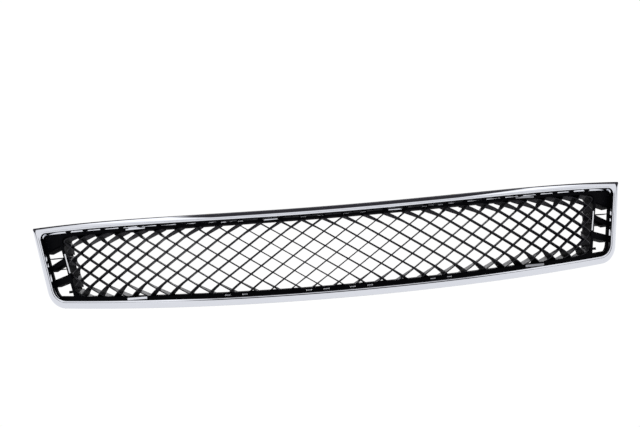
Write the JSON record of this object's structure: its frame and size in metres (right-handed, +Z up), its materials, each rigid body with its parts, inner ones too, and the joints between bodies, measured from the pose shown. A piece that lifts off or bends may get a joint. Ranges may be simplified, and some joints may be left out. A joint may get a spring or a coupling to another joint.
{
  "type": "front grille",
  "caption": "Wide bowed lower front grille: chrome surround, black diamond mesh insert with a duct wall, ribbed end brackets, screws, spring clips and sleeved bolting tabs.",
  "frame": {"origin": "midway between the holes of the two inner bolting tabs on the top flange, at the tabs' mid-thickness", "axes": "+X to the right seen from the front, +Y back into the car, +Z up"},
  "size_m": [1.228, 0.2218, 0.1869],
  "materials": {
    "chrome_plating": "bright chrome plate on moulded plastic, faint moulding waviness",
    "black_moulding": "satin black moulded plastic, soft sheen on the slat edges",
    "bracket_plastic": "fine-grained black moulded plastic",
    "zinc_steel": "bright zinc-plated steel",
    "yellow_zinc": "yellow passivated zinc on spring steel",
    "sleeve_steel": "turned steel, dull zinc plate"
  },
  "bodies": {
    "root": {"chrome_surround": "chrome_plating", "mesh_insert": "black_moulding", "end_bracket_left": "bracket_plastic", "end_bracket_right": "bracket_plastic", "insert_screws": "zinc_steel", "bracket_screws": "zinc_steel", "bar_strips": "zinc_steel", "top_spring_clips": "yellow_zinc", "bottom_spring_clips": "yellow_zinc", "mount_sleeves": "sleeve_steel"}
  },
  "joints": []
}
